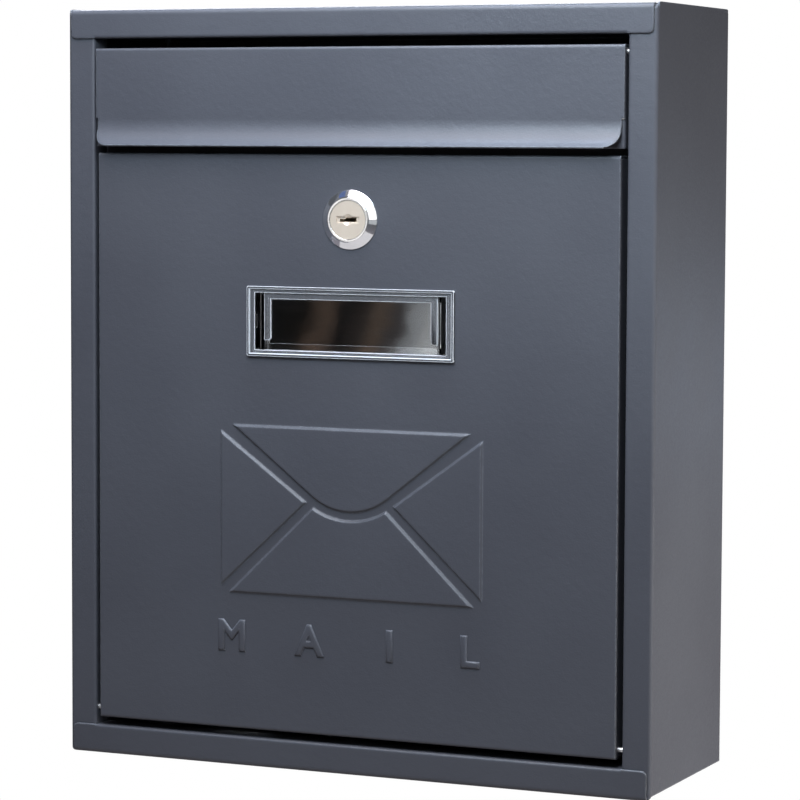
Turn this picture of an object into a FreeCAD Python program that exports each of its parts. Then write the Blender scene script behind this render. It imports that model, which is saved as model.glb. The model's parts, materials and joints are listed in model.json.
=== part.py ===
import FreeCAD, Part
import math
import os

from FreeCAD import Vector

# Wall mounted post box in folded sheet steel, in millimetres.
# The origin is the middle of the four wall holes, on the back face.
# +X is to the right, -Y is the front and +Z is up.

# Case
case_width = 300.0
case_height = 360.0
case_depth = 100.0
sheet = 0.8
wrap_bend_radius = 0.8      # inside the four upright edges of the case
bend_radius = 0.4           # inside a bend of the returns, rail, flap and door
seam_gap = 0.1              # between two sheets that lie on each other
frame_width = 14.0          # the front flanges, seen from the front
return_depth = 12.9         # front face to the back edge of the flanges' returns
case_corner_radius = 3.2    # corners of the wrap and the caps, seen from the front
side_corner_radius = 3.5    # upper corners of the side walls, seen from the side
side_edge_bottom = 2.2      # side walls end this far above the underside
cap_drop = 0.5              # top cap's face below the upper edges of the side walls
cap_bend_radius = 1.4       # inside the other bends of the caps
bottom_side_radius = 3.6    # inside the bends of the bottom cap's side laps
cap_lap = 12.5              # caps' side and back laps, from the cap's face
cap_end_inset = 1.9         # ends of the caps' front flanges, from the outside of the side walls
cap_corner_radius = 2.4
relief = 0.6                # slots where two bends would meet

# Spot welds that join the laps to the side walls
weld_radius = 2.4
weld_depth = 0.4
weld_edge = 6.9             # above the underside
weld_front = 14.0           # first weld, from the front face
weld_pitch = 20.0
weld_count = 2

# Wall holes
wall_hole_radius = 3.5
wall_hole_spacing_x = 200.0
wall_hole_spacing_z = 260.0

# Rail between letter slot and door
rail_rise = 6.5             # shelf above the upper edge of the door
rail_height = 17.0
rail_shelf = 14.0
rail_gap = 0.4              # behind the returns of the front flanges
stop_gap = 0.3              # closed door or flap to the rail

# Hinges
pin_radius = 1.2
pin_back = 4.1              # axes behind the front face
pin_head_radius = 2.0
pin_head_length = 1.0
pin_end = 0.5               # behind the return of the case
pin_fit = 0.02              # pin in the case
hinge_fit = 0.05            # pin in the flap or the door
side_play = 0.3             # pin head to the flap or the door
flap_pin_drop = 8.0         # below the front flange of the top cap
door_pin_rise = 4.2         # above the lower edge of the door

# Letter flap
flap_side_gap = 1.2
flap_top_gap = 4.8
flap_top_return = 7.0
lip_start = 34.1            # below the flap's top edge
lip_radius = 14.0
lip_angle = 55.0
lip_tail = 0.75
lip_end_inset = 1.4
lip_corner_radius = 6.4
lip_notch = 1.6
flap_skirt = 46.6           # cheeks' lower end, below the flap's top edge
flap_tab = 12.8

# Door
door_side_gap = 2.7
door_bottom_gap = 4.0
door_top_gap = 3.2          # below the cheeks of the flap

# Envelope pressed into the door
envelope_drop = 168.0       # middle, below the upper edge of the door
envelope_width = 134.8
envelope_height = 80.3
emboss_height = 1.0
emboss_slope = 0.9
emboss_back_inset = 0.35
flap_panel_inset = 6.0
flap_panel_angle = 38.0
flap_panel_tip_radius = 32.0
side_panel_inset = 2.8
side_panel_tip_x = 22.0
side_panel_tip_z = 4.6
base_panel_inset = 4.2
base_panel_shoulder = 18.8
base_panel_channel = 3.6

# Name window
window_drop = 78.6          # middle, below the upper edge of the door
window_width = 106.0
window_height = 33.0
window_flange = 1.0
window_rim = 0.6
window_rim_width = 1.3
window_corner = 0.8
skirt_width = 99.8
skirt_height = 28.8
skirt_wall = 0.9
skirt_depth = 6.0
skirt_gap = 0.2
pocket_width = 4.6          # open wells beside the pane
pane_set_back = 0.7
pane_thickness = 1.2
pane_border = 3.4
pane_border_height = 0.9
pane_border_foot = 5.0      # side borders end this far above the pane's lower edge
pane_border_radius = 1.6
card_slot = 1.1
card_rail = 3.0
card_rail_thickness = 1.0
barb_height = 6.0
barb_length = 2.0
barb_reach = 1.1

# Cam lock
lock_drop = 30.3            # axis, below the upper edge of the door
bezel_radius = 13.85
bezel_edge = 0.5
bezel_rim_radius = 10.75
bezel_depth = 3.2
rim_wall = 1.6
recess_depth = 2.8
barrel_radius = 9.5
barrel_flats = 16.2
barrel_length = 13.8
barrel_hole_gap = 0.1
plug_head_gap = 0.1
plug_head_drop = 0.3
plug_radius = 6.5
plug_fit = 0.05
tail_side = 7.0
tail_fit = 0.1
keyway_width = 8.4
keyway_height = 2.0
keyway_depth = 15.0
funnel_width = 11.4
funnel_height = 2.9
funnel_depth = 0.5
eye_radius = 2.6
eye_depth = 1.1
wafer_count = 5
wafer_first = 3.4           # behind the plug's face
wafer_pitch = 2.1
wafer_thickness = 0.9
wafer_height = 5.0
wafer_gap = 0.05
wafer_shoulder = 1.5        # brass that shows at one end of the keyway
wafer_window_margin = 0.2
tooth_washer_thickness = 0.8
tooth_washer_radius = 12.6
tooth_count = 8
nut_flats = 24.0
nut_thickness = 3.0
stop_washer_gap = 0.2
stop_washer_thickness = 1.0
stop_washer_radius = 9.0
stop_hub_radius = 6.9
stop_lug_angle = 20.0
stop_lug_place = -90.0      # about the lock's axis, from +X towards +Z
stop_play = 2.0
lock_turn = 90.0
cam_gap = 0.1
cam_thickness = 2.0
cam_width = 15.0
cam_reach = 30.0
screw_radius = 2.0
screw_length = 4.6
screw_head_radius = 3.9
screw_head_height = 2.6
screw_slot_width = 1.0
screw_slot_depth = 1.2
spring_washer_radius = 6.2
spring_washer_thickness = 1.0
spring_washer_split = 0.8
screw_fit = 0.02

# Planes and places that several pieces share
front = -case_depth
floor_z = -case_height / 2
top_z = case_height / 2
bend_outer = bend_radius + sheet
wrap_bend_outer = wrap_bend_radius + sheet
cap_bend_outer = cap_bend_radius + sheet
cap_top = top_z - cap_drop
wall_inside = case_width / 2 - sheet
lap_half = wall_inside - seam_gap
wrap_front = front + sheet + seam_gap
return_back = front + return_depth
opening_half = case_width / 2 - frame_width
opening_top = top_z - frame_width
opening_bottom = floor_z + frame_width
rail_front = return_back + rail_gap
stop_plane = rail_front - stop_gap
hinge_y = front + pin_back
flap_half = opening_half - flap_side_gap
flap_top = opening_top - flap_top_gap
flap_pin_z = opening_top - flap_pin_drop
door_half = opening_half - door_side_gap
door_low = opening_bottom + door_bottom_gap
door_high = flap_top - flap_skirt - door_top_gap
door_pin_z = door_low + door_pin_rise
door_back = front + sheet
lock_z = door_high - lock_drop
window_z = door_high - window_drop
envelope_z = door_high - envelope_drop
plug_face = front - bezel_depth + plug_head_drop
barrel_end = front + barrel_length
stop_washer_front = barrel_end + stop_washer_gap
cam_front = stop_washer_front + stop_washer_thickness + cam_gap
cam_back = cam_front + cam_thickness


def box(x0, x1, y0, y1, z0, z1):
    return Part.makeBox(x1 - x0, y1 - y0, z1 - z0, Vector(x0, y0, z0))


def rod_x(x0, x1, y, z, radius):
    return Part.makeCylinder(radius, x1 - x0, Vector(x0, y, z), Vector(1, 0, 0))


def rod_y(y0, y1, x, z, radius):
    return Part.makeCylinder(radius, y1 - y0, Vector(x, y0, z), Vector(0, 1, 0))


def fused(shapes):
    return shapes[0].fuse(shapes[1:]).removeSplitter()


def left_of(direction):
    return Vector(-direction.y, direction.x, 0)


def round_corner(before, corner, after, thickness, radius):
    # Arcs of a bend on the outline and on its left, each as start, middle and end.
    way_in = (corner - before).normalize()
    way_out = (after - corner).normalize()
    turn = math.atan2(way_in.x * way_out.y - way_in.y * way_out.x, way_in.dot(way_out))
    side = 1 if turn > 0 else -1
    outline_radius = radius + (thickness if turn > 0 else 0)
    reach = outline_radius * math.tan(abs(turn) / 2)
    start = corner - way_in * reach
    end = corner + way_out * reach
    centre = start + left_of(way_in) * (outline_radius * side)
    to_middle = (corner - centre).normalize()
    left_radius = outline_radius - thickness * side
    outline = (start, centre + to_middle * outline_radius, end)
    left = (
        start + left_of(way_in) * thickness,
        centre + to_middle * left_radius,
        end + left_of(way_out) * thickness,
    )
    return outline, left


def run_edges(start, arcs, end, place):
    edges = []
    here = start
    for first, middle, last in arcs:
        edges.append(Part.makeLine(place(here), place(first)))
        edges.append(Part.Arc(place(first), place(middle), place(last)).toShape())
        here = last
    edges.append(Part.makeLine(place(here), place(end)))
    return edges


def folded(points, along, low, high, radii=None):
    # Sheet folded along an outline, with its thickness on the left, extruded along one axis.
    places = {
        "x": (lambda p: Vector(low, p.x, p.y), Vector(high - low, 0, 0)),
        "y": (lambda p: Vector(p.x, low, p.y), Vector(0, high - low, 0)),
        "z": (lambda p: Vector(p.x, p.y, low), Vector(0, 0, high - low)),
    }
    place, extrusion = places[along]
    line = [Vector(u, v, 0) for u, v in points]
    radii = radii or [bend_radius] * (len(line) - 2)
    arcs = [round_corner(*line[i:i + 3], sheet, radii[i]) for i in range(len(line) - 2)]
    first_left = line[0] + left_of((line[1] - line[0]).normalize()) * sheet
    last_left = line[-1] + left_of((line[-1] - line[-2]).normalize()) * sheet
    edges = run_edges(line[0], [arc[0] for arc in arcs], line[-1], place)
    edges += run_edges(first_left, [arc[1] for arc in arcs], last_left, place)
    edges.append(Part.makeLine(place(line[0]), place(first_left)))
    edges.append(Part.makeLine(place(line[-1]), place(last_left)))
    return Part.Face(Part.Wire(Part.__sortEdges__(edges))).extrude(extrusion)


def corner_cutter(x, z, radius, side_x, side_z, y0, y1):
    # What a round corner takes off a plate whose square corner is at x, z.
    centre_x = x - side_x * radius
    centre_z = z - side_z * radius
    xs = sorted([centre_x, x + side_x])
    zs = sorted([centre_z, z + side_z])
    return box(*xs, y0, y1, *zs).cut(rod_y(y0, y1, centre_x, centre_z, radius))


def turned(points, z):
    # Solid of revolution about the lock axis, from points of radius and Y.
    ring = [Vector(radius, y, z) for radius, y in points]
    face = Part.Face(Part.makePolygon(ring + ring[:1]))
    return face.revolve(Vector(0, 0, z), Vector(0, 1, 0), 360)


def side_corner_cutter(side, edge_y, outwards):
    # What a round upper corner takes off a side wall, seen from the side.
    radius = side_corner_radius
    centre_y = edge_y - outwards * radius
    xs = sorted([side * (case_width / 2 - wrap_bend_outer), side * (case_width / 2 + 1)])
    ys = sorted([centre_y, edge_y + outwards])
    return box(*xs, *ys, top_z - radius, top_z + 1).cut(rod_x(*xs, centre_y, top_z - radius, radius))


def casing_wrap():
    half = case_width / 2
    outline = [
        (opening_half, return_back),
        (opening_half, wrap_front),
        (half, wrap_front),
        (half, 0),
        (-half, 0),
        (-half, wrap_front),
        (-opening_half, wrap_front),
        (-opening_half, return_back),
    ]
    radii = [bend_radius] + 4 * [wrap_bend_radius] + [bend_radius]
    wrap = folded(outline, "z", floor_z, top_z, radii)
    notch_half = half - cap_end_inset + 2 * seam_gap
    bend_back = wrap_front + wrap_bend_outer
    side_low = floor_z + side_edge_bottom
    cuts = [
        box(-notch_half, notch_half, front, return_back + 1, cap_top - cap_bend_outer, top_z + 1),
        box(-notch_half, notch_half, front, return_back + 1, floor_z - 1, floor_z + cap_bend_outer),
        box(-half - 1, half + 1, bend_back, 1, floor_z - 1, side_low),
    ]
    for side in (-1, 1):
        for z, side_z in ((floor_z, -1), (top_z, 1)):
            cuts.append(corner_cutter(side * half, z, case_corner_radius, side, side_z, front, bend_back))
        cuts.append(corner_cutter(side * half, top_z, case_corner_radius, side, 1, -wrap_bend_outer, 1))
        cuts += [side_corner_cutter(side, wrap_front, -1), side_corner_cutter(side, 0, 1)]
        for z in (flap_pin_z, door_pin_z):
            centre = side * opening_half
            cuts.append(rod_x(centre - 2, centre + 2, hinge_y, z, pin_radius + pin_fit))
        for rise in (-1, 1):
            x = side * wall_hole_spacing_x / 2
            cuts.append(rod_y(-2 * sheet, sheet, x, rise * wall_hole_spacing_z / 2, wall_hole_radius))
        cuts += weld_marks(side)
    return wrap.cut(cuts)


def weld_marks(side):
    marks = []
    for index in range(weld_count):
        y = front + weld_front + index * weld_pitch
        start = Vector(side * case_width / 2, y, floor_z + weld_edge)
        marks.append(Part.makeCone(weld_radius, 0, weld_depth, start, Vector(-side, 0, 0)))
    return marks


def cap(face, opening, side_radius):
    # The cap whose face and frame edge are at these heights, made as the upper one.
    corner = cap_bend_outer + relief / 3
    flange_half = case_width / 2 - cap_end_inset
    return_half = opening_half - 3 * seam_gap
    back = -(sheet + seam_gap)
    lap_end = face - cap_lap
    flat_half = lap_half - side_radius - sheet - relief / 3
    side_line = [(lap_half, lap_end), (lap_half, face), (-lap_half, face), (-lap_half, lap_end)]
    front_line = [(front + corner, face), (front, face), (front, opening + bend_outer)]
    return_line = [(front, face - cap_bend_outer), (front, opening), (return_back, opening)]
    back_line = [(back, lap_end), (back, face), (back - corner, face)]
    pieces = [
        folded(side_line, "y", front + corner, back - corner, 2 * [side_radius]),
        folded(front_line, "x", -flange_half, flange_half, [cap_bend_radius]),
        folded(return_line, "x", -return_half, return_half),
        folded(back_line, "x", -flat_half, flat_half, [cap_bend_radius]),
        box(-flat_half, flat_half, front + cap_bend_outer, back - cap_bend_outer, face - sheet, face),
    ]
    for side in (-1, 1):
        ends = sorted([side * return_half, side * flange_half])
        pieces.append(box(*ends, front, front + sheet, opening, opening + 2 * bend_outer))
    cutters = []
    for side in (-1, 1):
        low_corner = (side * flange_half, opening, cap_corner_radius, side, -1)
        high_corner = (side * case_width / 2, face, case_corner_radius, side, 1)
        cutters.append(corner_cutter(*low_corner, front - 1, front + 1))
        cutters.append(corner_cutter(*high_corner, front - 1, front + cap_bend_outer))
    return fused(pieces).cut(cutters)


def bottom_cap():
    upper = cap(-floor_z, -opening_bottom, bottom_side_radius)
    return upper.mirror(Vector(0, 0, 0), Vector(0, 0, 1))


def cross_rail():
    shelf_z = door_high + rail_rise
    low = shelf_z - rail_height
    back = rail_front + rail_shelf
    web_half = lap_half - bend_outer - relief
    angle = folded([(back, shelf_z), (rail_front, shelf_z), (rail_front, low)], "x", -web_half, web_half)
    ear_line = [(web_half - bend_outer, rail_front), (lap_half, rail_front), (lap_half, back)]
    ear = folded(ear_line, "z", low, shelf_z - bend_outer)
    return fused([angle, ear, ear.mirror(Vector(0, 0, 0), Vector(1, 0, 0))])


def hinge_pin(side, hinged_half, z):
    # Headed pin from inside the flap or door, pressed through the return of the case.
    head_start = hinged_half - sheet - side_play - pin_head_length
    head_end = head_start + pin_head_length
    pin = fused([
        rod_x(head_start, head_end, hinge_y, z, pin_head_radius),
        rod_x(head_start, opening_half + sheet + pin_end, hinge_y, z, pin_radius),
    ])
    return pin if side > 0 else pin.mirror(Vector(0, 0, 0), Vector(1, 0, 0))


def letter_flap():
    face_low = flap_top - lip_start
    reach = lip_radius * math.tan(math.radians(lip_angle) / 2)
    outwards = math.sin(math.radians(lip_angle))
    downwards = math.cos(math.radians(lip_angle))
    knee = face_low - reach
    tip = (front - (reach + lip_tail) * outwards, knee - (reach + lip_tail) * downwards)
    lip_half = flap_half - lip_end_inset
    corner_half = flap_half - relief / 3
    notch_high = face_low + lip_notch / 2
    skirt_low = flap_top - flap_skirt
    cheek_high = flap_top - bend_outer
    set_back = front + sheet + seam_gap
    top_line = [(front + flap_top_return, flap_top), (front, flap_top)]
    lip = folded(top_line + [(front, knee), tip], "x", -lip_half, lip_half, [bend_radius, lip_radius])
    top = folded(top_line + [(front, notch_high)], "x", -corner_half, corner_half)
    cheek_line = [(-flap_half, stop_plane), (-flap_half, front), (flap_half, front), (flap_half, stop_plane)]
    cheeks = folded(cheek_line, "z", notch_high, cheek_high)
    pieces = [lip, top, cheeks]
    for side in (-1, 1):
        xs = sorted([side * flap_half, side * (flap_half - sheet)])
        pieces.append(box(*xs, set_back + bend_outer, stop_plane, skirt_low, cheek_high))
    tab_line = [(flap_half - flap_tab, set_back), (flap_half, set_back), (flap_half, stop_plane)]
    tab = folded(tab_line, "z", skirt_low, notch_high - seam_gap)
    pieces += [tab, tab.mirror(Vector(0, 0, 0), Vector(1, 0, 0))]
    flap = fused(pieces)
    lip_low = tip[1]
    cuts = [rod_x(-flap_half - 1, flap_half + 1, hinge_y, flap_pin_z, pin_radius + hinge_fit)]
    for side in (-1, 1):
        radius = lip_corner_radius
        cuts.append(corner_cutter(side * lip_half, lip_low, radius, side, -1, tip[0] - 1, front + sheet))
    return flap.cut(cuts)


def lock_hole():
    radius = barrel_radius + barrel_hole_gap
    flats = barrel_flats / 2 + barrel_hole_gap
    hole = rod_y(front - 1, door_back + 1, 0, lock_z, radius)
    return hole.common(box(-radius, radius, front - 1, door_back + 1, lock_z - flats, lock_z + flats))


def window_hole():
    half_width = skirt_width / 2 + skirt_gap
    low = window_z - skirt_height / 2 - skirt_gap
    high = window_z + skirt_height / 2 + skirt_gap
    return box(-half_width, half_width, front - 1, door_back + 1, low, high)


def closed_wire(edges):
    return Part.Wire(Part.__sortEdges__(edges))


def polygon_edges(points, y):
    line = [Vector(x, y, envelope_z + z) for x, z in points]
    return [Part.makeLine(line[i], line[i + 1]) for i in range(len(line) - 1)]


def arc_edge(radius, middle_z, half_angle, y):
    ends = []
    for angle in (-half_angle, 0, half_angle):
        ends.append(Vector(radius * math.sin(angle), y, envelope_z + middle_z - radius * math.cos(angle)))
    return Part.Arc(*ends).toShape()


def envelope_outlines(y):
    half_width = envelope_width / 2
    half_height = envelope_height / 2
    slope = math.radians(flap_panel_angle)
    flap_corner = half_width - flap_panel_inset
    tip_middle = half_height - flap_corner * math.tan(slope) + flap_panel_tip_radius / math.cos(slope)
    tip_x = flap_panel_tip_radius * math.sin(slope)
    tip_z = tip_middle - flap_panel_tip_radius * math.cos(slope)
    flap_line = [(-tip_x, tip_z), (-flap_corner, half_height), (flap_corner, half_height), (tip_x, tip_z)]
    flap_panel = polygon_edges(flap_line, y) + [arc_edge(flap_panel_tip_radius, tip_middle, slope, y)]

    base_radius = flap_panel_tip_radius + base_panel_channel
    shoulder_angle = math.asin(base_panel_shoulder / base_radius)
    shoulder_z = tip_middle - base_radius * math.cos(shoulder_angle)
    base_corner = half_width - base_panel_inset
    base_line = [
        (-base_panel_shoulder, shoulder_z),
        (-base_corner, -half_height),
        (base_corner, -half_height),
        (base_panel_shoulder, shoulder_z),
    ]
    base_panel = polygon_edges(base_line, y) + [arc_edge(base_radius, tip_middle, shoulder_angle, y)]

    side_end = half_height - side_panel_inset
    outlines = [closed_wire(flap_panel), closed_wire(base_panel)]
    for side in (-1, 1):
        side_line = [
            (side * half_width, side_end),
            (side * side_panel_tip_x, side_panel_tip_z),
            (side * half_width, -side_end),
            (side * half_width, side_end),
        ]
        outlines.append(closed_wire(polygon_edges(side_line, y)))
    return outlines


def shrunk(wire, distance, shift):
    smaller = wire.makeOffset2D(-distance, 2)
    smaller.translate(Vector(0, shift, 0))
    return smaller


def envelope_blocks(y, inset):
    # Raised panels with sloped sides, from the plane y forwards.
    blocks = []
    for wire in envelope_outlines(y):
        base = shrunk(wire, inset, 0) if inset else wire
        crown = shrunk(wire, inset + emboss_slope, -emboss_height)
        blocks.append(Part.makeLoft([base, crown], True, True))
    return blocks


def door():
    corner_half = door_half - relief / 3
    hang_line = [(stop_plane, door_high), (front, door_high), (front, door_low), (stop_plane, door_low)]
    side_line = [(-door_half, stop_plane), (-door_half, front), (door_half, front), (door_half, stop_plane)]
    panel = fused([
        folded(hang_line, "x", -corner_half, corner_half),
        folded(side_line, "z", door_low + bend_outer, door_high - bend_outer),
    ])
    panel = panel.fuse(envelope_blocks(front, 0)).removeSplitter()
    hinge_bore = rod_x(-door_half - 1, door_half + 1, hinge_y, door_pin_z, pin_radius + hinge_fit)
    return panel.cut(envelope_blocks(door_back, emboss_back_inset) + [hinge_bore, lock_hole(), window_hole()])


def ring_plate(width, height, wall_x, wall_z, y0, y1):
    outer = box(-width / 2, width / 2, y0, y1, window_z - height / 2, window_z + height / 2)
    inner_x = width / 2 - wall_x
    inner_z = height / 2 - wall_z
    return outer.cut(box(-inner_x, inner_x, y0 - 1, y1 + 1, window_z - inner_z, window_z + inner_z))


def upright_edges(shape, half_width):
    return [edge for edge in shape.Edges
            if abs(abs(edge.CenterOfMass.x) - half_width) < 0.01
            and abs(edge.BoundBox.YLength - edge.Length) < 0.01]


def name_window():
    well_x = window_width / 2 - skirt_width / 2 + skirt_wall
    well_z = window_height / 2 - skirt_height / 2 + skirt_wall
    flange = ring_plate(window_width, window_height, well_x, well_z, front - window_flange, front)
    rim_front = front - window_flange - window_rim
    rim = ring_plate(window_width, window_height, window_rim_width, window_rim_width, rim_front, front)
    flange = fused([flange, rim])
    flange = flange.makeFillet(window_corner, upright_edges(flange, window_width / 2))
    skirt_back = front + skirt_depth
    skirt = ring_plate(skirt_width, skirt_height, skirt_wall, skirt_wall, front - window_flange, skirt_back)
    well_height = skirt_height - 2 * skirt_wall
    pane_front = front + pane_set_back
    pane_back = pane_front + pane_thickness
    half_pane = skirt_width / 2 - skirt_wall - pocket_width
    half_well = well_height / 2
    low = window_z - half_well - skirt_wall / 2
    high = window_z + half_well + skirt_wall / 2
    pane = box(-half_pane, half_pane, pane_front, pane_back, low, high)
    border_front = pane_front - pane_border_height
    border = box(-half_pane, half_pane, border_front, pane_back, high - pane_border, high)
    rail_front_y = pane_back + card_slot
    pieces = [flange, skirt, pane, border]
    for side in (-1, 1):
        pieces.append(side_border(side, half_pane, border_front, pane_back, low + pane_border_foot, high))
        xs = sorted([side * half_pane, side * (half_pane - skirt_wall)])
        pieces.append(box(*xs, pane_front, rail_front_y + card_rail_thickness, low, high))
        edge = window_z + side * (half_well + skirt_wall / 2)
        zs = sorted([edge, window_z + side * (half_well - card_rail)])
        pieces.append(box(-half_pane, half_pane, rail_front_y, rail_front_y + card_rail_thickness, *zs))
        pieces.append(barb(side))
    return fused(pieces)


def side_border(side, half_pane, y0, y1, low, high):
    # Raised strip along one end of the pane, rounded at its lower inner corner.
    inner = half_pane - pane_border
    xs = sorted([side * inner, side * half_pane])
    corner = corner_cutter(side * inner, low, pane_border_radius, -side, -1, y0 - 1, y1 + 1)
    return box(*xs, y0, y1, low, high).cut(corner)


def barb(side):
    # Snap hook on the end of the skirt, behind the door's sheet.
    root = skirt_width / 2 - skirt_wall / 2
    face = skirt_width / 2
    start = door_back + seam_gap
    end = start + barb_length
    ramp = [(root, start), (face + barb_reach, start), (face, end), (root, end)]
    low = window_z - barb_height / 2
    points = [Vector(side * x, y, low) for x, y in ramp]
    return Part.Face(Part.makePolygon(points + points[:1])).extrude(Vector(0, 0, barb_height))


def sector(radius, from_angle, to_angle, y0, y1):
    # Wedge about the lock axis, angles from +X towards +Z.
    steps = 6
    reach = 2 * radius
    points = [Vector(0, y0, lock_z)]
    for step in range(steps + 1):
        angle = math.radians(from_angle + (to_angle - from_angle) * step / steps)
        points.append(Vector(reach * math.cos(angle), y0, lock_z + reach * math.sin(angle)))
    wedge = Part.Face(Part.makePolygon(points + points[:1])).extrude(Vector(0, y1 - y0, 0))
    return wedge.common(rod_y(y0, y1, 0, lock_z, radius))


def lock_housing():
    rim_front = front - bezel_depth
    recess_radius = bezel_rim_radius - rim_wall
    bore = plug_radius + plug_fit
    body = turned([
        (bore, rim_front + recess_depth),
        (recess_radius, rim_front + recess_depth),
        (recess_radius, rim_front),
        (bezel_rim_radius - bezel_edge, rim_front),
        (bezel_rim_radius, rim_front + bezel_edge),
        (bezel_radius, front - bezel_edge),
        (bezel_radius, front),
        (barrel_radius, front),
        (barrel_radius, barrel_end),
        (bore, barrel_end),
    ], lock_z)
    flats = barrel_flats / 2
    for side in (-1, 1):
        zs = sorted([lock_z + side * flats, lock_z + side * (barrel_radius + 1)])
        body = body.cut(box(-barrel_radius - 1, barrel_radius + 1, front, barrel_end, *zs))
    lug_back = stop_washer_front + stop_washer_thickness
    first = stop_lug_place - stop_lug_angle / 2
    lug = sector(flats, first, first + stop_lug_angle, barrel_end - 1, lug_back)
    lug = lug.cut(rod_y(barrel_end - 1, lug_back, 0, lock_z, stop_hub_radius + seam_gap))
    return fused([body, lug])


def keyway(start, end):
    half_width = keyway_width / 2
    half_height = keyway_height / 2
    slot = box(-half_width, half_width, start, end, lock_z - half_height, lock_z + half_height)
    ward = box(-half_width, -half_width / 3, start, end, lock_z + half_height / 3, lock_z + half_height)
    return slot.cut(ward)


def lock_plug():
    head_radius = bezel_rim_radius - rim_wall - plug_head_gap
    head_back = front - bezel_depth + recess_depth - plug_head_gap
    plug_end = barrel_end + stop_washer_gap / 2
    tail_end = cam_back - tail_fit
    plug = turned([
        (0, plug_face),
        (head_radius, plug_face),
        (head_radius, head_back),
        (plug_radius, head_back),
        (plug_radius, plug_end),
        (0, plug_end),
    ], lock_z)
    half_tail = tail_side / 2
    tail = box(-half_tail, half_tail, plug_end - 1, tail_end, lock_z - half_tail, lock_z + half_tail)
    eye = Part.makeCone(eye_radius, eye_radius / 3, eye_depth, Vector(0, plug_face, lock_z), Vector(0, 1, 0))
    half_funnel = funnel_height / 2
    funnel = box(-funnel_width / 2, funnel_width / 2, plug_face - 1, plug_face + funnel_depth,
                 lock_z - half_funnel, lock_z + half_funnel)
    thread = rod_y(cam_back - screw_length, tail_end + 1, 0, lock_z, screw_radius + screw_fit)
    cuts = [keyway(plug_face - 1, plug_face + keyway_depth), eye, funnel, thread]
    half_slot = wafer_height / 2 + wafer_gap
    reach = plug_radius + 1
    for start in wafer_starts():
        slot_end = start + wafer_thickness + 2 * wafer_gap
        cuts.append(box(-reach, reach, start, slot_end, lock_z - half_slot, lock_z + half_slot))
    return fused([plug, tail]).cut(cuts)


def wafer_starts():
    return [plug_face + wafer_first + index * wafer_pitch for index in range(wafer_count)]


def lock_wafers():
    wafers = []
    half_height = wafer_height / 2
    window_low = -keyway_width / 2 - wafer_window_margin
    window_high = keyway_width / 2 - wafer_shoulder
    window_half = keyway_height / 2 + wafer_window_margin
    for start in wafer_starts():
        y0 = start + wafer_gap
        y1 = y0 + wafer_thickness
        plate = box(-plug_radius, plug_radius, y0, y1, lock_z - half_height, lock_z + half_height)
        plate = plate.common(rod_y(y0, y1, 0, lock_z, plug_radius - wafer_gap))
        window = box(window_low, window_high, y0 - 1, y1 + 1, lock_z - window_half, lock_z + window_half)
        wafers.append(plate.cut(window))
    return Part.makeCompound(wafers)


def lock_washer():
    start = door_back
    end = start + tooth_washer_thickness
    ring = rod_y(start, end, 0, lock_z, tooth_washer_radius)
    cuts = [rod_y(start - 1, end + 1, 0, lock_z, barrel_radius + barrel_hole_gap)]
    tooth_depth = (tooth_washer_radius - barrel_radius) / 2
    half_gap = math.pi * tooth_washer_radius / tooth_count / 2
    for index in range(tooth_count):
        gap = box(tooth_washer_radius - tooth_depth, tooth_washer_radius + 1, start - 1, end + 1,
                  lock_z - half_gap, lock_z + half_gap)
        gap.rotate(Vector(0, 0, lock_z), Vector(0, 1, 0), 360 * index / tooth_count)
        cuts.append(gap)
    return ring.cut(cuts)


def lock_nut():
    start = door_back + tooth_washer_thickness
    end = start + nut_thickness
    corner = nut_flats / math.sqrt(3)
    points = []
    for index in range(6):
        angle = math.radians(60 * index)
        points.append(Vector(corner * math.cos(angle), start, lock_z + corner * math.sin(angle)))
    hexagon = Part.Face(Part.makePolygon(points + points[:1])).extrude(Vector(0, nut_thickness, 0))
    return hexagon.cut(rod_y(start - 1, end + 1, 0, lock_z, barrel_radius + barrel_hole_gap))


def square_hole(y0, y1):
    half = tail_side / 2 + tail_fit
    return box(-half, half, y0, y1, lock_z - half, lock_z + half)


def stop_washer():
    start = stop_washer_front
    end = start + stop_washer_thickness
    disc = rod_y(start, end, 0, lock_z, stop_washer_radius)
    first = stop_lug_place - stop_lug_angle / 2 - stop_play - lock_turn
    last = stop_lug_place + stop_lug_angle / 2 + stop_play
    gap = sector(stop_washer_radius + 1, first, last, start - 1, end + 1)
    gap = gap.cut(rod_y(start - 1, end + 1, 0, lock_z, stop_hub_radius))
    return disc.cut([gap, square_hole(start - 1, end + 1)])


def lock_cam():
    half_width = cam_width / 2
    hub = rod_y(cam_front, cam_back, 0, lock_z, cam_width / 2 + 1)
    end_radius = cam_width / 2
    strap = box(0, cam_reach - end_radius, cam_front, cam_back, lock_z - half_width, lock_z + half_width)
    end = rod_y(cam_front, cam_back, cam_reach - end_radius, lock_z, end_radius)
    return fused([hub, strap, end]).cut(square_hole(cam_front - 1, cam_back + 1))


def cam_spring_washer():
    start = cam_back
    end = start + spring_washer_thickness
    ring = rod_y(start, end, 0, lock_z, spring_washer_radius)
    hole = rod_y(start - 1, end + 1, 0, lock_z, screw_radius + 2 * tail_fit)
    half = spring_washer_split / 2
    split = box(-half, half, start - 1, end + 1, lock_z, lock_z + spring_washer_radius + 1)
    return ring.cut([hole, split])


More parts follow.
